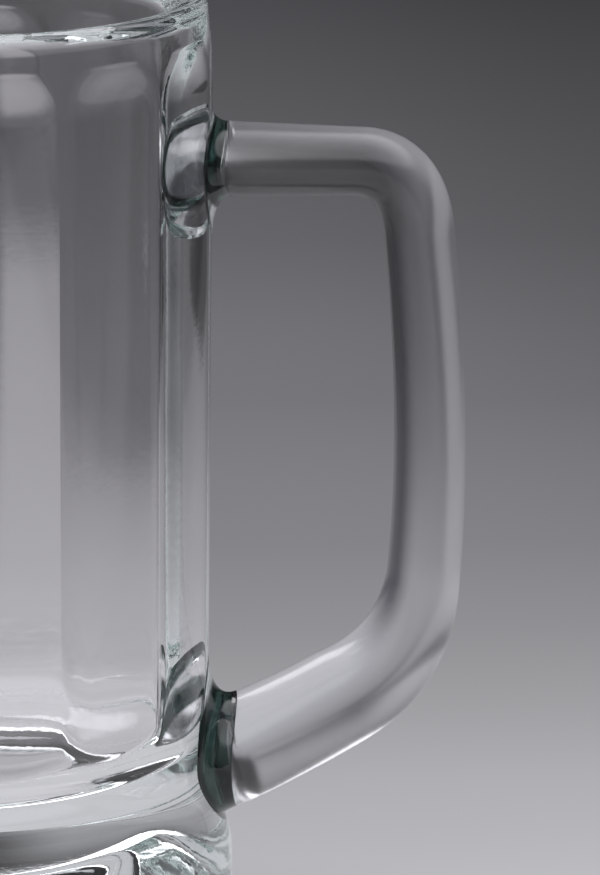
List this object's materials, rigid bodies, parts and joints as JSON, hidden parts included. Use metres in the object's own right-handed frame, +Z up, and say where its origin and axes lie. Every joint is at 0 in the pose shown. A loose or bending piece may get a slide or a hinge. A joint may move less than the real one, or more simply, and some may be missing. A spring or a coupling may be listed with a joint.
{
  "type": "glass beer mug",
  "caption": "Heavy straight-sided clear glass beer mug with arch-topped panels inside the wall, a thick flared base and a welded solid glass side handle.",
  "frame": {"origin": "on the mug's axis, in the plane of the ring that it rests on", "axes": "+Z up along the mug's axis, +X from the axis to the handle, +Y to the left of someone who looks along +X"},
  "size_m": [0.1382, 0.098, 0.155],
  "materials": {
    "clear_glass": "fire polished, faint green in its thickness, slight waviness from pressing",
    "weld_glass": "fire polished, dark green where it is seen edge on"
  },
  "bodies": {
    "root": {"mug_body": "clear_glass", "handle": "clear_glass", "upper_weld_collar": "weld_glass", "lower_weld_collar": "weld_glass"}
  },
  "joints": []
}
